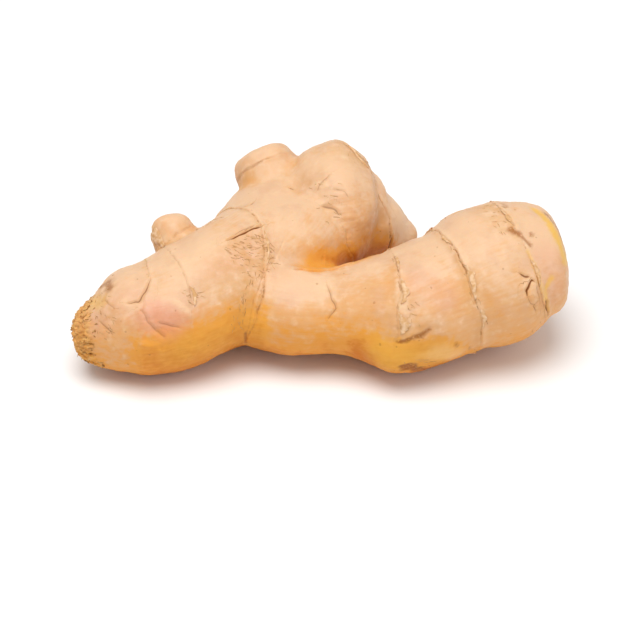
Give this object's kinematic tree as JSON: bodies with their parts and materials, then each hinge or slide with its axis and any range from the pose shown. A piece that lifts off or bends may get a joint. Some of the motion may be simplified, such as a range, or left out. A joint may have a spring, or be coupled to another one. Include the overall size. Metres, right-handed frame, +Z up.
{
  "type": "ginger root",
  "caption": "Fresh ginger rhizome lying down: a bent mother finger with a torn end, a thicker side finger, stem stubs, growth rings and buds.",
  "frame": {"origin": "middle of the root's outline as seen from above, on the surface that it rests on", "axes": "+X along the root from its torn end towards the thick finger's tip, +Y away from the viewer, +Z up"},
  "size_m": [0.1416, 0.0868, 0.0433],
  "materials": {
    "skin": "satin"
  },
  "bodies": {
    "root": {"ginger_root": "skin"}
  },
  "joints": []
}
